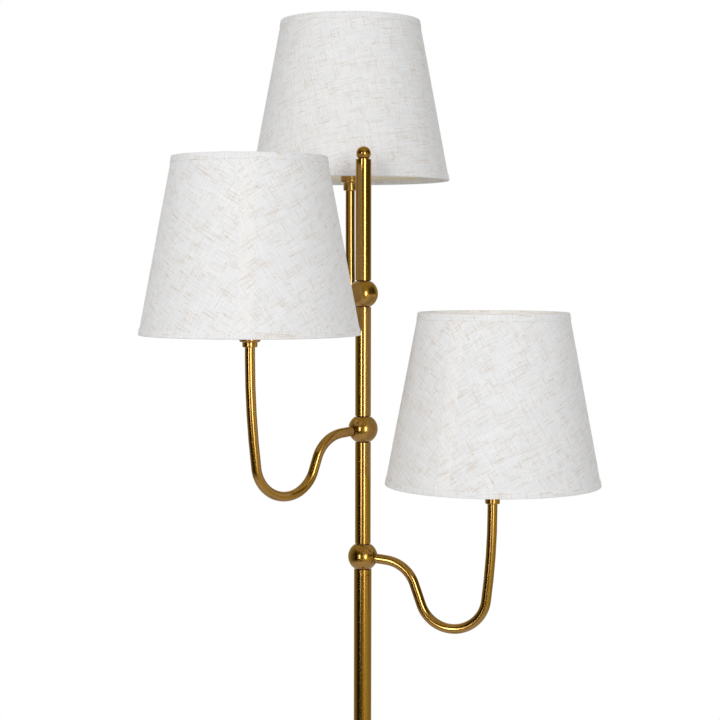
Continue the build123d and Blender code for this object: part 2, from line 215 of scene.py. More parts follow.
def split(tree, vector):
    """The X, Y and Z of a vector."""
    return add(tree, "ShaderNodeSeparateXYZ", {0: vector}).outputs


def joined(tree, x, y, z=0.0):
    """A vector made of three values."""
    return add(tree, "ShaderNodeCombineXYZ", {0: x, 1: y, 2: z}).outputs[0]


def length_of(tree, vector):
    return add(tree, "ShaderNodeVectorMath", {0: vector}, operation="LENGTH").outputs["Value"]


def rough_noise(tree, vector, scale, detail=2.0, roughness=0.5, dimensions="3D"):
    values = {"Vector": vector, "Scale": scale, "Detail": detail, "Roughness": roughness}
    return add(tree, "ShaderNodeTexNoise", values, noise_dimensions=dimensions).outputs[0]


def new_group(name, inputs, outputs):
    """A shader node group: inputs are (name, kind, default), outputs (name, kind)."""
    group = bpy.data.node_groups.new(name, "ShaderNodeTree")
    for label, kind, default in inputs:
        socket = group.interface.new_socket(label, in_out="INPUT", socket_type=f"NodeSocket{kind}")
        if default is not None:
            socket.default_value = default
    for label, kind in outputs:
        group.interface.new_socket(label, in_out="OUTPUT", socket_type=f"NodeSocket{kind}")
    return group, group.nodes.new("NodeGroupInput").outputs, group.nodes.new("NodeGroupOutput")


def placed(tree, group, values):
    """A shared effect in a material; returns its outputs."""
    made = tree.nodes.new("ShaderNodeGroup")
    made.node_tree = group
    fill(tree, made, values)
    return made.outputs


def slub_weave():
    """Plain linen weave on flat cloth, in mm: uneven threads, slubs along both yarns, knots and relief."""
    white = (1.0, 1.0, 1.0, 1.0)
    group, given, out = new_group(
        "slub weave",
        [
            ("Vector", "Vector", None),
            ("Pitch", "Float", 0.85),
            ("Slub Amount", "Float", 0.4),
            ("Knot Amount", "Float", 0.6),
            ("Ground", "Color", white),
            ("Slub", "Color", white),
            ("Knot", "Color", white),
        ],
        [("Color", "Color"), ("Height", "Float")],
    )
    t = group
    place = split(t, given["Vector"])
    pitch = given["Pitch"]
    tone_length, knot_length = 30.0, 3.2
    slub_fade = 0.10
    knot_low, knot_high = 0.69, 0.80

    def along_thread(run, length, row, seed, detail):
        """Noise that changes along a thread and differs from one thread to the next."""
        key = calc(t, "MULTIPLY_ADD", row, 7.31, seed)
        return rough_noise(t, joined(t, calc(t, "DIVIDE", run, length), key), 1.0, detail, 0.55, "2D")

    crowd = rough_noise(t, given["Vector"], 0.085, 1.0, 0.5)
    slubs, knots, tones, waves = [], [], [], []
    for along, across, length, least, seed in (("X", "Y", 26.0, 0.76, 3.1), ("Y", "X", 20.0, 0.77, 58.7)):
        run = place[along]
        row = calc(t, "FLOOR", calc(t, "DIVIDE", place[across], pitch))
        tones.append(along_thread(run, tone_length, row, seed, 1.0))
        yarn = along_thread(run, length, row, seed + 17.0, 2.0)
        slub = step(t, calc(t, "MULTIPLY_ADD", crowd, 0.30, yarn), least, least + slub_fade)
        slubs.append(slub)
        bit = step(t, along_thread(run, knot_length, row, seed + 29.0, 1.0), knot_low, knot_high)
        knots.append(calc(t, "MULTIPLY", bit, calc(t, "MULTIPLY_ADD", slub, 0.6, 0.4)))
        turns = calc(t, "MULTIPLY", calc(t, "DIVIDE", run, pitch), math.pi)
        waves.append(calc(t, "SINE", turns))
    slub = calc(t, "MAXIMUM", slubs[0], calc(t, "MULTIPLY", slubs[1], 0.8))
    knot = calc(t, "MAXIMUM", *knots)
    cloud = rough_noise(t, given["Vector"], 0.045, 2.0)
    tone = calc(t, "MULTIPLY_ADD", calc(t, "ADD", *tones), 0.17, 0.81)
    values = {0: given["Ground"], "Scale": calc(t, "MULTIPLY_ADD", cloud, 0.03, tone)}
    ground = add(t, "ShaderNodeVectorMath", values, operation="SCALE").outputs[0]
    colour = blend_colour(t, calc(t, "MULTIPLY", slub, given["Slub Amount"]), ground, given["Slub"])
    colour = blend_colour(t, calc(t, "MULTIPLY", knot, given["Knot Amount"]), colour, given["Knot"])
    relief = calc(t, "MULTIPLY_ADD", calc(t, "MULTIPLY", *waves), 0.35, 0.35)
    t.links.new(colour, out.inputs["Color"])
    t.links.new(calc(t, "MULTIPLY_ADD", slub, 0.55, relief), out.inputs["Height"])
    return group


def fine_brushing():
    """Fine lines across the vector's Z, uneven in depth, as a brushing wheel leaves them."""
    group, given, out = new_group(
        "fine brushing",
        [("Vector", "Vector", None), ("Lines", "Float", 5000.0), ("Wander", "Float", 12.0)],
        [("Height", "Float"), ("Streak", "Float")],
    )
    t = group
    parts = split(t, given["Vector"])
    across = calc(t, "MULTIPLY", parts["Z"], given["Lines"])
    slow = [calc(t, "MULTIPLY", parts[axis], given["Wander"]) for axis in ("X", "Y")]
    fine = rough_noise(t, joined(t, *slow, across), 1.0, 2.0, 0.7)
    bands = rough_noise(t, joined(t, *slow, calc(t, "MULTIPLY", across, 0.13)), 1.0, 2.0, 0.5)
    t.links.new(fine, out.inputs["Height"])
    t.links.new(bands, out.inputs["Streak"])
    return group


def darkening():
    """Uneven antique darkening of brass: cloudy, with small deep spots."""
    group, given, out = new_group(
        "darkening",
        [
            ("Vector", "Vector", None),
            ("Scale", "Float", 30.0),
            ("Amount", "Float", 0.35),
            ("Bright", "Color", (1.0, 1.0, 1.0, 1.0)),
            ("Dark", "Color", (0.5, 0.5, 0.5, 1.0)),
        ],
        [("Color", "Color"), ("Mask", "Float")],
    )
    t = group
    cloud = step(t, rough_noise(t, given["Vector"], given["Scale"], 3.0, 0.6), 0.42, 0.72)
    small = rough_noise(t, given["Vector"], calc(t, "MULTIPLY", given["Scale"], 9.0), 2.0, 0.5)
    mask = calc(t, "MULTIPLY", calc(t, "MULTIPLY_ADD", small, 0.3, cloud), given["Amount"], clamp=True)
    t.links.new(blend_colour(t, mask, given["Bright"], given["Dark"]), out.inputs["Color"])
    t.links.new(mask, out.inputs["Mask"])
    return group


def fine_grain():
    """Small even grain, such as moulded plastic, paper, paint or a sand casting has."""
    group, given, out = new_group(
        "fine grain",
        [
            ("Vector", "Vector", None),
            ("Scale", "Float", 2000.0),
            ("Tone", "Float", 0.1),
            ("Bright", "Color", (1.0, 1.0, 1.0, 1.0)),
            ("Dark", "Color", (0.5, 0.5, 0.5, 1.0)),
        ],
        [("Color", "Color"), ("Height", "Float"), ("Mask", "Float")],
    )
    t = group
    grain = rough_noise(t, given["Vector"], given["Scale"], 3.0, 0.6)
    cloud = rough_noise(t, given["Vector"], calc(t, "MULTIPLY", given["Scale"], 0.02), 2.0, 0.5)
    mask = calc(t, "MULTIPLY", step(t, cloud, 0.35, 0.7), given["Tone"])
    t.links.new(blend_colour(t, mask, given["Bright"], given["Dark"]), out.inputs["Color"])
    t.links.new(grain, out.inputs["Height"])
    t.links.new(mask, out.inputs["Mask"])
    return group


def group_named(name):
    """The shared effect of that name, built when it is first asked for."""
    makers = {
        "slub weave": slub_weave,
        "fine brushing": fine_brushing,
        "darkening": darkening,
        "fine grain": fine_grain,
    }
    return bpy.data.node_groups.get(name) or makers[name]()


def empty_tree(owner):
    """The cleared node tree of a material or world."""
    owner.use_nodes = True
    owner.node_tree.nodes.clear()
    return owner.node_tree


def new_material(name):
    """A material with an empty Principled BSDF; returns it, its tree and the shader."""
    made = bpy.data.materials.new(name)
    tree = empty_tree(made)
    shader = tree.nodes.new("ShaderNodeBsdfPrincipled")
    tree.links.new(shader.outputs[0], tree.nodes.new("ShaderNodeOutputMaterial").inputs["Surface"])
    return made, tree, shader


def object_point(tree):
    return add(tree, "ShaderNodeTexCoord").outputs["Object"]


def flat_point(tree):
    """Place on the piece's own UV map, which is in metres on the flat material."""
    return add(tree, "ShaderNodeUVMap", uv_map="flat").outputs["UV"]


def bump(tree, height, strength, distance):
    values = {"Height": height, "Strength": strength, "Distance": distance}
    return add(tree, "ShaderNodeBump", values).outputs[0]


# ---------------------------------------------------------------- finishes


def linen_finish(doubled=False):
    """Bleached slubby linen, read from the flat cut of each piece; two layers look a little lighter."""
    name = "doubled linen" if doubled else "linen cloth"
    if name in bpy.data.materials:
        return bpy.data.materials[name]
    cloth = bpy.context.scene.lamp_linen
    ground = tuple(cloth.ground_doubled if doubled else cloth.ground)
    made, tree, shader = new_material(name)
    values = {"Vector": flat_point(tree), "Scale": (1 / MM, 1 / MM, 1 / MM)}
    flat = add(tree, "ShaderNodeMapping", values).outputs["Vector"]
    weave = placed(
        tree,
        group_named("slub weave"),
        {
            "Vector": flat,
            "Pitch": cloth.pitch / MM,
            "Slub Amount": cloth.slub_amount,
            "Knot Amount": cloth.knot_amount,
            "Ground": ground,
            "Slub": tuple(cloth.slub),
            "Knot": tuple(cloth.knot),
        },
    )
    normal = bump(tree, weave["Height"], 0.35, 0.00025)
    fill(
        tree,
        shader,
        {
            "Base Color": weave["Color"],
            "Roughness": 0.85,
            "Sheen Weight": 0.12,
            "Sheen Roughness": 0.5,
            "Specular IOR Level": 0.25,
            "Normal": normal,
        },
    )
    return made


def brass_finish(name, brushed="object", roughness=0.2, depth=0.5, streaks=0.02):
    """Darkened, brushed and lacquered brass. The lines run round the vector's Z."""
    if name in bpy.data.materials:
        return bpy.data.materials[name]
    metal = bpy.context.scene.lamp_metal
    made, tree, shader = new_material(name)
    lined = object_point(tree)
    if brushed == "flat":
        flat = split(tree, flat_point(tree))
        lined = joined(tree, flat["Y"], 0.0, flat["X"])
    elif brushed == "rings":
        parts = split(tree, lined)
        radius = length_of(tree, joined(tree, parts["X"], parts["Y"]))
        lined = joined(tree, parts["X"], parts["Y"], calc(tree, "ADD", radius, parts["Z"]))
    brushing = placed(tree, group_named("fine brushing"), {"Vector": lined})
    dark = placed(
        tree,
        group_named("darkening"),
        {
            "Vector": object_point(tree),
            "Bright": tuple(metal.brass),
            "Dark": tuple(metal.brass_dark),
            "Amount": 0.12,
        },
    )
    rough = calc(tree, "MULTIPLY_ADD", brushing["Streak"], streaks, roughness - streaks / 2)
    rough = calc(tree, "MULTIPLY_ADD", dark["Mask"], 0.08, rough)
    values = {
        "Base Color": dark["Color"],
        "Metallic": 1.0,
        "Roughness": rough,
        "Coat Weight": 0.8,
        "Coat Roughness": 0.1,
        "Normal": bump(tree, brushing["Height"], depth, BRUSH_DEPTH),
    }
    fill(tree, shader, values)
    return made


def grained_finish(name, bright, dark, scale, tone, roughness, relief, height, **more):
    """Any plain painted, moulded, plated or cast finish with a fine grain."""
    if name in bpy.data.materials:
        return bpy.data.materials[name]
    made, tree, shader = new_material(name)
    grain = placed(
        tree,
        group_named("fine grain"),
        {"Vector": object_point(tree), "Scale": scale, "Tone": tone, "Bright": bright, "Dark": dark},
    )
    rough = calc(tree, "MULTIPLY_ADD", grain["Mask"], 0.12, roughness)
    fill(
        tree,
        shader,
        {
            "Base Color": grain["Color"],
            "Roughness": rough,
            "Normal": bump(tree, grain["Height"], relief, height * MM),
            **more,
        },
    )
    return made


# ---------------------------------------------------------------- modelling helpers


def start_clean():
    """Leaves edit mode and deselects everything."""
    if bpy.context.object and bpy.context.object.mode != "OBJECT":
        bpy.ops.object.mode_set(mode="OBJECT")
    bpy.ops.object.select_all(action="DESELECT")


def select_only(piece):
    start_clean()
    piece.select_set(True)
    bpy.context.view_layer.objects.active = piece


def edit_all():
    """Opens the active mesh with everything in it selected."""
    bpy.ops.object.mode_set(mode="EDIT")
    bpy.ops.mesh.select_all(action="SELECT")


def close_outwards():
    """Turns the selected faces outwards and leaves edit mode."""
    bpy.ops.mesh.normals_make_consistent(inside=False)
    bpy.ops.object.mode_set(mode="OBJECT")


def finish_piece(piece, body, smooth=40.0):
    """Names the mesh, sets smooth shading and hangs the piece on its CAD body."""
    piece.data.name = piece.name
    select_only(piece)
    bpy.ops.object.shade_smooth_by_angle(angle=math.radians(smooth))
    piece.select_set(False)
    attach(piece, body)
    return piece


def apply_modifiers(piece):
    select_only(piece)
    for modifier in list(piece.modifiers):
        bpy.ops.object.modifier_apply(modifier=modifier.name)
    piece.select_set(False)


def copied(piece, name):
    """A copy of a piece with a mesh of its own."""
    twin = piece.copy()
    twin.data = piece.data.copy()
    twin.name = name
    bpy.context.scene.collection.objects.link(twin)
    return twin


def write_flat(piece, place):
    """Fills the UV map "flat" with place(points) for the corners of each face."""
    mesh = piece.data
    for layer in list(mesh.uv_layers):
        mesh.uv_layers.remove(layer)
    layer = mesh.uv_layers.new(name="flat")
    for face in mesh.polygons:
        spots = place([mesh.vertices[mesh.loops[i].vertex_index].co for i in face.loop_indices])
        for i, spot in zip(face.loop_indices, spots):
            layer.data[i].uv = spot


def unwrapped_angles(points):
    """Angles of a face's corners about Z, kept together where the face crosses the half turn."""
    angles = [math.atan2(p.y, p.x) for p in points]
    if max(angles) - min(angles) > math.pi:
        angles = [a + 2 * math.pi if a < 0 else a for a in angles]
    return angles


def lathe(name, outline):
    """Turns a closed outline of (radius, height) points about Z, by extruding and resizing a circle."""
    start_clean()
    radius, height = outline[0]
    bpy.ops.mesh.primitive_circle_add(vertices=AROUND, radius=radius, location=(0, 0, height))
    piece = bpy.context.object
    piece.name = name
    bpy.ops.object.transform_apply(location=True, rotation=False, scale=False)
    edit_all()
    for radius_to, height_to in outline[1:]:
        bpy.ops.mesh.extrude_edges_move(TRANSFORM_OT_translate={"value": (0, 0, height_to - height)})
        share = radius_to / radius
        bpy.ops.transform.resize(value=(share, share, 1), center_override=(0, 0, height_to))
        radius, height = radius_to, height_to
    bpy.ops.mesh.select_all(action="DESELECT")
    bpy.ops.mesh.select_mode(type="EDGE")
    bpy.ops.mesh.select_non_manifold(extend=False, use_boundary=True)
    bpy.ops.mesh.bridge_edge_loops()
    bpy.ops.mesh.select_all(action="SELECT")
    close_outwards()
    return piece


# ---------------------------------------------------------------- shades


def wall(depth, height):
    """Radius and height of a point of a shade's section, at a depth inwards from the cloth's outside."""
    shade = bpy.context.scene.lamp_shade
    slope = (shade.bottom_radius - shade.top_radius) / shade.height
    return shade.bottom_radius - slope * height - depth, height


def cone_cut(shade):
    """The cover's flat cut: its sector's share of a turn, and the lower edge's distance from the apex."""
    slant = math.hypot(shade.height, shade.bottom_radius - shade.top_radius)
    share = (shade.bottom_radius - shade.top_radius) / slant
    return share, shade.bottom_radius / share


def cloth_place(points, shift):
    """Where the corners of a face lie on the flat cut, with the seam at -X."""
    shade = bpy.context.scene.lamp_shade
    share, far = cone_cut(shade)
    out = []
    for angle, point in zip(unwrapped_angles(points), points):
        slant = far - point.z / math.sqrt(1 - share * share)
        out.append((slant * math.sin(angle * share) + shift, -slant * math.cos(angle * share)))
    return out


def model_cover():
    """The cover: a cone of cloth between the hems, a little uneven, with its thickness turned inwards."""
    shade = bpy.context.scene.lamp_shade
    tucked = 0.001  # how far the cover ends inside the fold of a hem
    broad, fine = 0.00016, 0.00005  # how far the cloth stands out of true
    start_clean()
    bottom, top = wall(0, tucked), wall(0, shade.height - tucked)
    bpy.ops.mesh.primitive_cone_add(
        vertices=AROUND,
        radius1=bottom[0],
        radius2=top[0],
        depth=top[1] - bottom[1],
        end_fill_type="NOTHING",
        location=(0, 0, (top[1] + bottom[1]) / 2),
    )
    piece = bpy.context.object
    piece.name = "linen_cover"
    bpy.ops.object.transform_apply(location=True, rotation=False, scale=False)
    bpy.ops.object.mode_set(mode="EDIT")
    mesh = bmesh.from_edit_mesh(piece.data)
    for edge in mesh.edges:
        rise = abs(edge.verts[0].co.z - edge.verts[1].co.z)
        edge.select_set(rise > shade.height / 2)
    bmesh.update_edit_mesh(piece.data)
    bpy.ops.mesh.subdivide(number_cuts=27)
    bpy.ops.object.mode_set(mode="OBJECT")
    for vertex in piece.data.vertices:
        angle = math.atan2(vertex.co.y, vertex.co.x)
        spot = Vector((3 * math.cos(angle), 3 * math.sin(angle), vertex.co.z * 22))
        swell = broad * max(0.0, noise.noise(spot)) + fine * max(0.0, noise.noise(spot * 4.0))
        vertex.co.x += swell * math.cos(angle)
        vertex.co.y += swell * math.sin(angle)
    thick = piece.modifiers.new("cloth", "SOLIDIFY")
    thick.thickness = shade.cloth
    thick.offset = -1
    apply_modifiers(piece)
    return piece


def model_hem(at_top):
    """A folded strip of cloth over an edge of the shade: outside leg, rounded fold, inside leg."""
    shade = bpy.context.scene.lamp_shade
    proud, near, far = shade.hem_proud, -0.00005, shade.hem_reach  # depths, inwards from the cover
    leg, turned, web = shade.hem_height, shade.hem_turn, shade.hem_proud
    soft, layer = 0.00045, 0.0004  # rounding of the fold, and thickness of the inside leg
    ripple, pull = 0.0003, 0.00012  # unevenness of the strip's edge and of its face
    rows = [
        (near, leg),
        (-proud + soft, leg),
        (-proud + 0.3 * soft, leg - 0.3 * soft),
        (-proud, leg - soft),
        (-proud, leg * 0.78),
        (-proud, leg * 0.5),
        (-proud, leg * 0.28),
        (-proud, 2 * soft),
        (-proud + 0.35 * soft, 0.8 * soft),
        (-proud + soft, 0.2 * soft),
        (-proud + 2 * soft, 0.0),
        (far - 2 * soft, 0.0),
        (far - 0.5 * soft, 0.25 * soft),
        (far, soft),
        (far, turned * 0.5),
        (far, turned),
        (far - layer, turned),
        (far - layer, web),
        (near, web),
    ]
    if at_top:
        rows = [(depth, shade.height - height) for depth, height in rows]
    piece = lathe("hem", [wall(*row) for row in rows])
    middle = shade.height / 2
    for vertex in piece.data.vertices:
        angle = math.atan2(vertex.co.y, vertex.co.x)
        radius = math.hypot(vertex.co.x, vertex.co.y)
        edge_gap = shade.height - vertex.co.z if at_top else vertex.co.z
        away = min(1.0, edge_gap / leg)
        spot = Vector((5 * math.cos(angle), 5 * math.sin(angle), 7.0 if at_top else 1.0))
        wave = noise.noise(spot) + 0.4 * noise.noise(spot * 5.0)
        if radius > wall(0, vertex.co.z)[0]:
            vertex.co.z += ripple * away * wave * (1 if vertex.co.z < middle else -1)
            drawn = pull * abs(noise.noise(spot * 3.0))
            vertex.co.x -= drawn * math.cos(angle)
            vertex.co.y -= drawn * math.sin(angle)
    return piece


def hem_place(points, shift):
    """Where the corners of a hem's face lie on its flat strip."""
    angles = unwrapped_angles(points)
    radius = bpy.context.scene.lamp_shade.bottom_radius
    return [(a * radius + shift, p.z + math.hypot(p.x, p.y)) for a, p in zip(angles, points)]


def model_seam():
    """The glued overlap down the cover, a strip of even width with a soft step at each side."""
    shade = bpy.context.scene.lamp_shade
    wander, ripple = 0.00025, 0.00006  # unevenness of the strip's edges and of its face
    start_clean()
    bpy.ops.mesh.primitive_grid_add(x_subdivisions=16, y_subdivisions=36, size=2.0)
    piece = bpy.context.object
    piece.name = "linen_seam"
    low, high = shade.hem_height * 0.6, shade.height - shade.hem_height * 0.6
    for vertex in piece.data.vertices:
        x, y = vertex.co.x, vertex.co.y
        height = low + (high - low) * (y + 1) / 2
        radius = wall(0, height)[0]
        wobble = wander * noise.noise(Vector((y * 6, math.copysign(3, x), 2.0)))
        angle = math.pi + (x * shade.seam_width / 2 + wobble) / radius
        lift = shade.seam_proud * (1 - abs(x) ** 8) + ripple * noise.noise(Vector((x * 2, y * 9, 5.0)))
        vertex.co = ((radius + lift) * math.cos(angle), (radius + lift) * math.sin(angle), height)
    select_only(piece)
    edit_all()
    close_outwards()
    middle = piece.data.polygons[len(piece.data.polygons) // 2]
    if middle.normal.dot(Vector((middle.center.x, middle.center.y, 0))) < 0:
        piece.data.flip_normals()
    thick = piece.modifiers.new("cloth", "SOLIDIFY")
    thick.thickness = shade.seam_proud
    thick.offset = -1
    apply_modifiers(piece)
    return piece


def seam_place(points, shift):
    """The overlap carries on the cut past its left-hand end."""
    shade = bpy.context.scene.lamp_shade
    share, far = cone_cut(shade)
    out = []
    for point in points:
        angle = math.atan2(point.y, point.x)
        angle = angle - 2 * math.pi if angle > 0 else angle
        slant = far - point.z / math.sqrt(1 - share * share)
        out.append((slant * math.sin(angle * share) + shift, -slant * math.cos(angle * share)))
    return out


class TREELAMP_OT_shades(bpy.types.Operator):
    """Model the linen covers, their overlaps and their folded hems, and hang them on the arms"""

    bl_idname = "treelamp.shades"
    bl_label = "Linen shades"

    def execute(self, context):
        shade = context.scene.lamp_shade
        parts = {
            "cover": (model_cover(), cloth_place),
            "seam": (model_seam(), seam_place),
            "hem_bottom": (model_hem(False), hem_place),
            "hem_top": (model_hem(True), hem_place),
        }
        for count, arm in enumerate(ARMS):
            x, y = centre_of(f"shade_cover_{arm}")
            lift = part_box(f"shade_cover_{arm}")[0].z
            facing = getattr(shade, f"seam_{arm}")
            for part, (model, place) in parts.items():
                piece = copied(model, f"linen_{part}_{arm}")
                write_flat(piece, lambda points, place=place: place(points, 0.9 * count))
                turned = Matrix.Rotation(facing - math.pi, 4, "Z")
                piece.data.transform(Matrix.Translation((x, y, lift)) @ turned)
                piece.data.materials.clear()
                piece.data.materials.append(linen_finish(doubled=part == "seam"))
                finish_piece(piece, f"arm_{arm}", smooth=50.0)
                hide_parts(f"shade_cover_{arm}")
        for model, _ in parts.values():
            bpy.data.objects.remove(model)
        return {"FINISHED"}


# ---------------------------------------------------------------- swan necks


def neck_runs(arms, steep, leg, rise, top):
    """The swan neck's line in its own XZ plane, as straight runs and arcs from the ball's centre."""
    leave, lean = arms.leave, arms.lean
    across = arms.shoulder_radius * (math.sin(steep) - math.sin(leave)) + leg * math.cos(steep)
    across += arms.bend_radius * (math.cos(lean) + math.sin(steep)) + rise * (1 - math.cos(lean))
    lead = (arms.reach - across) / math.cos(leave)
    point, angle = Vector((arms.start * math.cos(leave), 0, -arms.start * math.sin(leave))), -leave
    runs = []
    for kind, amount, radius in (
        ("run", lead - arms.start, 0),
        ("arc", leave - steep, arms.shoulder_radius),
        ("run", leg, 0),
        ("arc", steep + math.pi / 2 - lean, arms.bend_radius),
        ("arc", lean, rise),
        ("run", None, 0),
    ):
        ahead = Vector((math.cos(angle), 0, math.sin(angle)))
        if kind == "run":
            amount = top - point.z if amount is None else amount
            runs.append((kind, point.copy(), ahead, amount, None))
            point += ahead * amount
        else:
            side = Vector((-ahead.z, 0, ahead.x)) * math.copysign(1, amount)
            centre = point + side * radius
            runs.append((kind, point.copy(), ahead, amount, centre))
            angle += amount
            point = centre - Vector((-math.sin(angle), 0, math.cos(angle))) * math.copysign(radius, amount)
    return runs


def neck_samples(runs):
    """Points along the neck with their distance from its start."""
    out, gone = [], 0.0
    for kind, point, ahead, amount, centre in runs:
        count = 60 if kind == "arc" else 24
        for i in range(count):
            share = i / count
            if kind == "run":
                out.append((point + ahead * amount * share, gone + amount * share))
            else:
                arm = point - centre
                turned = Matrix.Rotation(-amount * share, 3, "Y") @ arm
                out.append((centre + turned, gone + abs(amount) * arm.length * share))
        gone += abs(amount) * ((point - centre).length if kind == "arc" else 1)
    return out


def model_neck(arms, runs, name):
    """A ring is extruded along the straight runs and spun round the arcs, then given its wall."""
    longest, widest = 0.012, math.radians(2.2)  # longest step on a run, widest on an arc
    start_clean()
    _, point, ahead, _, _ = runs[0]
    bpy.ops.mesh.primitive_circle_add(vertices=36, radius=arms.tube_radius, location=(0, 0, 0))
    piece = bpy.context.object
    piece.name = name
    piece.data.transform(Matrix.Translation(point) @ ahead.to_track_quat("Z", "Y").to_matrix().to_4x4())
    edit_all()
    for kind, _, ahead, amount, centre in runs:
        if kind == "run":
            steps = max(1, round(amount / longest))
            move = {"value": tuple(ahead * amount / steps)}
            for _ in range(steps):
                bpy.ops.mesh.extrude_edges_move(TRANSFORM_OT_translate=move)
        else:
            steps = max(4, round(abs(amount) / widest))
            bpy.ops.mesh.spin(dupli=False, steps=steps, angle=amount, center=centre, axis=(0, 1, 0))
    bpy.ops.mesh.select_all(action="SELECT")
    bpy.ops.mesh.remove_doubles(threshold=0.00001)
    close_outwards()
    thick = piece.modifiers.new("wall", "SOLIDIFY")
    thick.thickness = arms.tube_wall
    thick.offset = -1
    thick.use_even_offset = True
    apply_modifiers(piece)
    return piece


class TREELAMP_OT_necks(bpy.types.Operator):
    """Model the three swan neck tubes, with their brushed lines laid round them"""

    bl_idname = "treelamp.necks"
    bl_label = "Swan necks"

    def execute(self, context):
        arms = context.scene.lamp_arms
        for arm in ARMS:
            node = f"arm_tube_{arm}"
            steep, leg, rise = (getattr(arms, f"{part}_{arm}") for part in ("steep", "leg", "rise"))
            runs = neck_runs(arms, steep, leg, rise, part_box(node)[1].z - BALL_Z[arm])
            samples = neck_samples(runs)
            piece = model_neck(arms, runs, f"swan_neck_{arm}")
            write_flat(piece, lambda points, samples=samples: neck_place(points, samples, arms.tube_radius))
            x, y = centre_of(f"cup_{arm}")
            heading = Matrix.Rotation(math.atan2(y, x), 4, "Z")
            piece.data.transform(Matrix.Translation((0, 0, BALL_Z[arm])) @ heading)
            piece.data.materials.clear()
            finish = brass_finish("brushed brass neck", brushed="flat", roughness=0.16)
            piece.data.materials.append(finish)
            finish_piece(piece, f"arm_{arm}")
            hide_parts(node)
            if arm == "top":
                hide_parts("arm_flex_top")
        return {"FINISHED"}


def neck_place(points, samples, radius):
    """Distance along the neck and round it, in metres, for a face's corners."""
    spots = []
    for point in points:
        middle = Vector((point.x, 0, point.z))
        index = min(range(len(samples)), key=lambda i: (samples[i][0] - middle).length_squared)
        before = samples[max(index - 1, 0)][0]
        after = samples[min(index + 1, len(samples) - 1)][0]
        ahead = (after - before).normalized()
        offset = point - samples[index][0]
        along = samples[index][1] + offset.dot(ahead)
        side = offset.dot(Vector((-ahead.z, 0, ahead.x)))
        spots.append([along, math.atan2(point.y, side)])
    if max(s[1] for s in spots) - min(s[1] for s in spots) > math.pi:
        for spot in spots:
            spot[1] += 2 * math.pi if spot[1] < 0 else 0
    return [(along, angle * radius) for along, angle in spots]


# ---------------------------------------------------------------- finishes of the CAD parts


def dress(nodes, finish):
    """Gives CAD nodes a finish in their own material slots."""
    for name in nodes:
        for place in frame["nodes"][name].material_slots:
            place.material = finish


class TREELAMP_OT_brass_parts(bpy.types.Operator):
    """Finish the pole, balls, cups, collars and base cover in darkened brass"""

    bl_idname = "treelamp.brass_parts"
    bl_label = "Brass parts"

    def execute(self, context):
        tubes = brass_finish("brushed brass tube", roughness=0.14)
        dress(["lower_stem", "upper_stem", "section_low", "section_mid", "section_top"], tubes)
        turned = brass_finish("turned brass", roughness=0.2)
        dress(["ferrule", "stem_joint_ring", "foot_collar"], turned)
        dress([f"{piece}_{arm}" for piece in ("tube_collar", "cup") for arm in ARMS], turned)
        polished = brass_finish("polished brass ball", roughness=0.2, depth=0.1, streaks=0.0)
        dress(["finial"] + [f"ball_{arm}" for arm in ARMS], polished)
        dress(["base_cover"], brass_finish("spun brass", brushed="rings", roughness=0.24))
        dress([f"contacts_{arm}" for arm in ARMS], brass_finish("contact brass", roughness=0.3))
        return {"FINISHED"}


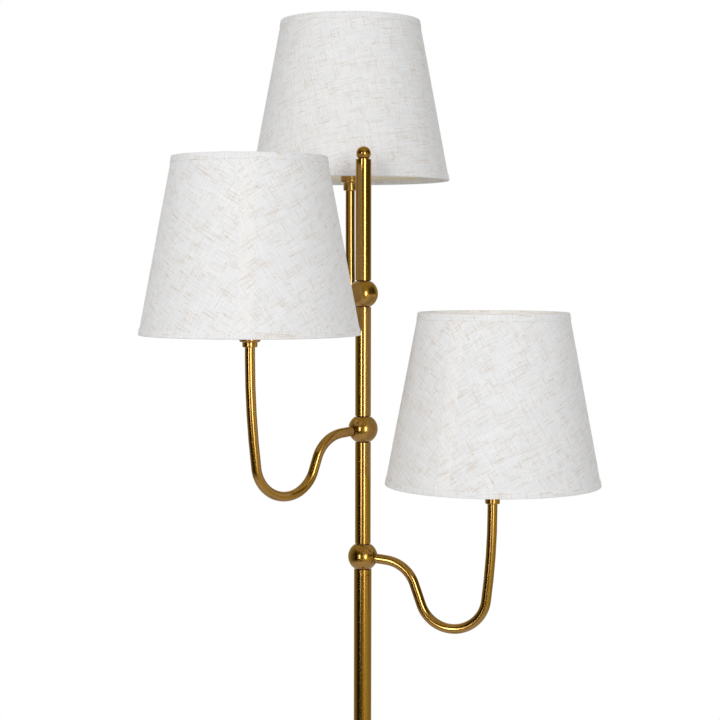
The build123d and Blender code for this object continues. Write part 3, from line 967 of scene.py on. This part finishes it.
class TREELAMP_OT_plain_parts(bpy.types.Operator):
    """Finish the lining, wires, lamp holders, bulbs, weight and fixings"""

    bl_idname = "treelamp.plain_parts"
    bl_label = "Linings, holders and fixings"

    def execute(self, context):
        metal = context.scene.lamp_metal
        # Painted light: the lining glows faintly, standing in for daylight that comes through the cloth,
        # which the closed cover would hold back
        painted_glow = {"Emission Color": (1.0, 0.9, 0.68, 1.0), "Emission Strength": 0.12}
        glazed = {
            "Subsurface Weight": 0.3,
            "Subsurface Scale": 0.003,
            "Coat Weight": 0.5,
            "Coat Roughness": 0.04,
        }
        plated = {"Metallic": 1.0}
        # name, bright colour, dark colour, scale, tone, roughness, relief, its height in mm, other sockets
        rows = (
            # The cream lining carries the painted glow of daylight through the cloth
            ("cream lining", (0.84, 0.80, 0.72), (0.77, 0.72, 0.63), 900, 0.5, 0.55, 0.1, 0.1, painted_glow),
            ("white coated wire", (0.80, 0.80, 0.77), (0.72, 0.71, 0.66), 700, 0.4, 0.35, 0.1, 0.1, {}),
            ("black moulding", (0.022, 0.022, 0.023), (0.05, 0.05, 0.05), 2500, 0.4, 0.38, 0.15, 0.1, {}),
            ("white moulding", (0.72, 0.71, 0.68), (0.62, 0.60, 0.55), 2500, 0.4, 0.4, 0.15, 0.1, {}),
            ("gold flex", (0.50, 0.38, 0.20), (0.36, 0.26, 0.12), 800, 0.5, 0.35, 0.2, 0.1, {}),
            ("foam pad", (0.03, 0.03, 0.03), (0.055, 0.053, 0.05), 1800, 0.8, 0.95, 0.8, 0.4, {}),
            ("cast iron", metal.iron, (0.09, 0.085, 0.08), 700, 0.6, 0.6, 0.8, 0.5, {}),
            ("opal glass", (0.88, 0.88, 0.86), (0.84, 0.84, 0.82), 300, 0.3, 0.12, 0.02, 0.1, glazed),
            ("zinc plate", metal.zinc, (0.40, 0.40, 0.38), 1200, 0.5, 0.32, 0.1, 0.1, plated),
            ("nickel plate", metal.nickel, (0.5, 0.47, 0.42), 900, 0.4, 0.22, 0.05, 0.1, plated),
        )
        made = {name: grained_finish(name, *values, **more) for name, *values, more in rows}
        per_arm = {
            "shade_liner": "cream lining",
            "shade_frame": "white coated wire",
            "holder": "black moulding",
            "ring_nuts": "black moulding",
            "arm_flex": "gold flex",
            "bulb_cap": "nickel plate",
            "bulb_glass": "opal glass",
        }
        for piece, name in per_arm.items():
            dress([f"{piece}_{arm}" for arm in ARMS], made[name])
        dress(["swivel_washers", "cord_inlet"], made["black moulding"])
        dress(["terminal_block"], made["white moulding"])
        dress(["base_pad"], made["foam pad"])
        dress(["base_weight"], made["cast iron"])
        dress(["pole_flex"], made["gold flex"])
        dress(["base_washer", "base_nut", "tube_plugs", "stem_nipples", "ball_nipples"], made["zinc plate"])
        return {"FINISHED"}


# ---------------------------------------------------------------- stage


def room_light():
    """A white surround for the camera, metal and glass, and a plain soft light for everything else."""
    stage = bpy.context.scene.lamp_stage
    world = bpy.data.worlds.new("white studio")
    bpy.context.scene.world = world
    tree = empty_tree(world)
    white = (1.0, 1.0, 1.0)
    soft = add(tree, "ShaderNodeBackground", {"Color": white, "Strength": stage.ambient}).outputs[0]
    bright = add(tree, "ShaderNodeBackground", {"Color": white, "Strength": 1.0}).outputs[0]
    path = add(tree, "ShaderNodeLightPath").outputs
    shown = calc(tree, "ADD", path["Is Camera Ray"], path["Is Glossy Ray"])
    shown = calc(tree, "ADD", shown, path["Is Transmission Ray"], clamp=True)
    mixed = add(tree, "ShaderNodeMixShader", {0: shown, 1: soft, 2: bright}).outputs[0]
    tree.links.new(mixed, tree.nodes.new("ShaderNodeOutputWorld").inputs["Surface"])


def wall_glow(tree, azimuth, height):
    """Colour of the room's walls by direction: dim at the camera's left, brighter at its right."""
    tones = (  # degrees from the camera's side towards its right, brightness
        (-180, 0.36), (-150, 0.36), (-125, 0.42), (-98, 0.23), (-78, 0.12), (-62, 0.01), (-50, 0.01),
        (-40, 0.08), (-15, 0.1), (-6, 0.25), (0, 0.38), (8, 0.4), (30, 0.62), (45, 0.66), (61, 0.55),
        (80, 0.45), (98, 0.36), (125, 0.38), (150, 0.36),
    )
    share = calc(tree, "DIVIDE", calc(tree, "ADD", azimuth, 180.0), 360.0)
    ramp = add(tree, "ShaderNodeValToRGB", {0: share})
    elements = ramp.color_ramp.elements
    elements.remove(elements[1])
    for count, (degrees, bright) in enumerate(tones):
        place = (degrees + 180) / 360
        element = elements[0] if count == 0 else elements.new(place)
        element.position = place
        element.color = (bright, bright, bright, 1)
    # Above eye level the right side is dark
    right, above = between(tree, azimuth, 40.0, 112.0, 8.0), step(tree, height, -3.0, 1.0)
    dark = calc(tree, "MULTIPLY", calc(tree, "MULTIPLY", right, above), 0.85)
    walls = blend_colour(tree, dark, ramp.outputs["Color"], (0.02, 0.02, 0.02))
    # Ceiling and floor of the room are grey
    ends = calc(tree, "MAXIMUM", step(tree, height, 28.0, 55.0), step(tree, height, -28.0, -45.0))
    return blend_colour(tree, ends, walls, (0.42, 0.42, 0.42))


def studio_walls():
    """Dim room with two bright boxes beside the camera, open behind the lamp; only metal sees it."""
    stage = bpy.context.scene.lamp_stage
    start_clean()
    bpy.ops.mesh.primitive_uv_sphere_add(segments=48, ring_count=24, radius=6.0, location=(0, 0, 1.2))
    room = bpy.context.object
    room.name = "studio_room"
    edit_all()
    bpy.ops.mesh.flip_normals()
    bpy.ops.object.mode_set(mode="OBJECT")
    made = bpy.data.materials.new("studio room")
    tree = empty_tree(made)
    parts = split(tree, object_point(tree))
    away = length_of(tree, joined(tree, parts["X"], parts["Y"]))
    behind = calc(tree, "MULTIPLY", parts["Y"], -1.0)
    azimuth = calc(tree, "DEGREES", calc(tree, "ARCTAN2", parts["X"], behind))
    height = calc(tree, "DEGREES", calc(tree, "ARCTAN2", parts["Z"], away))
    glow = blend_colour(tree, 1.0, wall_glow(tree, azimuth, height), tuple(stage.room), "MULTIPLY")
    level_band = between(tree, height, -10.0, 15.0, 5.0)
    boxes = 0.0
    for left, right in ((-28.5, -22.5), (17.5, 27.0)):
        box = calc(tree, "MULTIPLY", between(tree, azimuth, left, right, 2.5), level_band)
        boxes = calc(tree, "MULTIPLY_ADD", box, stage.box, boxes)
    lit = add(tree, "ShaderNodeEmission", {"Color": glow, "Strength": 1.0}).outputs[0]
    box_light = add(tree, "ShaderNodeEmission", {"Color": (1.0, 0.98, 0.95), "Strength": boxes}).outputs[0]
    lit = add(tree, "ShaderNodeAddShader", {0: lit, 1: box_light}).outputs[0]
    clear = add(tree, "ShaderNodeBsdfTransparent").outputs[0]
    gap = step(tree, calc(tree, "ABSOLUTE", azimuth), 160.0, 168.0)
    gap = calc(tree, "MULTIPLY", gap, between(tree, height, -20.0, 40.0, 8.0))
    shown = add(tree, "ShaderNodeMixShader", {0: gap, 1: lit, 2: clear}).outputs[0]
    tree.links.new(shown, tree.nodes.new("ShaderNodeOutputMaterial").inputs["Surface"])
    made.cycles.emission_sampling = "NONE"
    room.data.materials.append(made)
    for kind in ("camera", "diffuse", "transmission", "volume_scatter", "shadow"):
        setattr(room, f"visible_{kind}", False)


def pale_floor():
    """A round pale floor that keeps the lamp's shadow and fades into the white surround."""
    stage = bpy.context.scene.lamp_stage
    start_clean()
    bpy.ops.mesh.primitive_circle_add(vertices=128, radius=2.6, fill_type="NGON", location=(0, 0, 0))
    floor = bpy.context.object
    floor.name = "floor"
    made, tree, shader = new_material("pale floor")
    fill(tree, shader, {"Base Color": tuple(stage.floor), "Roughness": 0.8, "Specular IOR Level": 0.1})
    fade = step(tree, length_of(tree, object_point(tree)), 0.9, 2.4)
    clear = add(tree, "ShaderNodeBsdfTransparent").outputs[0]
    mixed = add(tree, "ShaderNodeMixShader", {0: fade, 1: shader.outputs[0], 2: clear}).outputs[0]
    output = next(n for n in tree.nodes if n.type == "OUTPUT_MATERIAL")
    tree.links.new(mixed, output.inputs["Surface"])
    floor.data.materials.append(made)


def soft_light(name, place, target, width, tall, watts):
    """A soft light for cloth and floor; metal sees the boxes on the room's wall instead."""
    light = bpy.data.lights.new(name, "AREA")
    light.shape = "RECTANGLE"
    light.size = width
    light.size_y = tall
    light.energy = watts
    made = bpy.data.objects.new(name, light)
    bpy.context.scene.collection.objects.link(made)
    aim = Vector(target) - Vector(place)
    made.matrix_world = Matrix.Translation(place) @ aim.to_track_quat("-Z", "Y").to_matrix().to_4x4()
    made.visible_camera = False
    made.visible_glossy = False


def place_camera(stage):
    """The camera, turned to the right, tilted up and rolled."""
    lens = bpy.data.cameras.new("camera")
    lens.sensor_width = 36.0
    lens.lens = stage.lens
    camera = bpy.data.objects.new("camera", lens)
    bpy.context.scene.collection.objects.link(camera)
    yaw, pitch, roll = stage.yaw, stage.pitch, stage.roll
    ahead = Vector((math.sin(yaw) * math.cos(pitch), math.cos(yaw) * math.cos(pitch), math.sin(pitch)))
    right = Vector((math.cos(yaw), -math.sin(yaw), 0))
    above = right.cross(ahead)
    tilted = math.cos(roll) * right + math.sin(roll) * above
    upright = math.cos(roll) * above - math.sin(roll) * right
    turned = Matrix((tilted, upright, -ahead)).transposed().to_4x4()
    camera.matrix_world = Matrix.Translation((stage.camera_x, stage.camera_y, stage.camera_z)) @ turned
    bpy.context.scene.camera = camera


class TREELAMP_OT_stage(bpy.types.Operator):
    """Set up the floor, the white surround, the soft lights and the camera"""

    bl_idname = "treelamp.stage"
    bl_label = "Stage and camera"

    def execute(self, context):
        stage = context.scene.lamp_stage
        room_light()
        studio_walls()
        pale_floor()
        soft_light("soft_left", (-1.5, -2.4, 2.0), (0, 0, 1.1), 1.0, 1.4, stage.key)
        soft_light("soft_right", (1.5, -2.4, 2.0), (0, 0, 1.1), 1.0, 1.4, stage.key * 0.72)
        soft_light("soft_back", (0.5, 2.8, 1.9), (0, 0, 1.0), 1.4, 1.4, stage.key * 0.55)
        place_camera(stage)
        context.scene.view_settings.view_transform = "Standard"
        return {"FINISHED"}


# ---------------------------------------------------------------- add-on


class TREELAMP_PT_panel(bpy.types.Panel):
    """Lists the lamp's pieces and their sizes"""

    bl_idname = "TREELAMP_PT_panel"
    bl_label = "Tree lamp"
    bl_space_type = "VIEW_3D"
    bl_region_type = "UI"
    bl_category = "Tree Lamp"

    def draw(self, context):
        for operator in OPERATORS:
            self.layout.operator(operator.bl_idname)
        for name, settings in SETTINGS.items():
            box = self.layout.box()
            box.label(text=settings.__name__)
            for label in settings.__annotations__:
                box.prop(getattr(context.scene, name), label)


OPERATORS = (
    TREELAMP_OT_stage,
    TREELAMP_OT_shades,
    TREELAMP_OT_necks,
    TREELAMP_OT_brass_parts,
    TREELAMP_OT_plain_parts,
)
SETTINGS = {
    "lamp_shade": ShadeSizes,
    "lamp_arms": ArmSizes,
    "lamp_linen": LinenColours,
    "lamp_metal": MetalColours,
    "lamp_stage": StageSettings,
}


def register():
    for kind in (*SETTINGS.values(), *OPERATORS, TREELAMP_PT_panel):
        bpy.utils.register_class(kind)
    for name, settings in SETTINGS.items():
        setattr(bpy.types.Scene, name, bpy.props.PointerProperty(type=settings))


def unregister():
    for name in SETTINGS:
        delattr(bpy.types.Scene, name)
    for kind in (TREELAMP_PT_panel, *reversed(OPERATORS), *SETTINGS.values()):
        bpy.utils.unregister_class(kind)


def main():
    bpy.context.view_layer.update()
    register()
    bpy.ops.treelamp.stage()
    bpy.ops.treelamp.shades()
    bpy.ops.treelamp.necks()
    bpy.ops.treelamp.brass_parts()
    bpy.ops.treelamp.plain_parts()


if __name__ == "__main__":
    main()
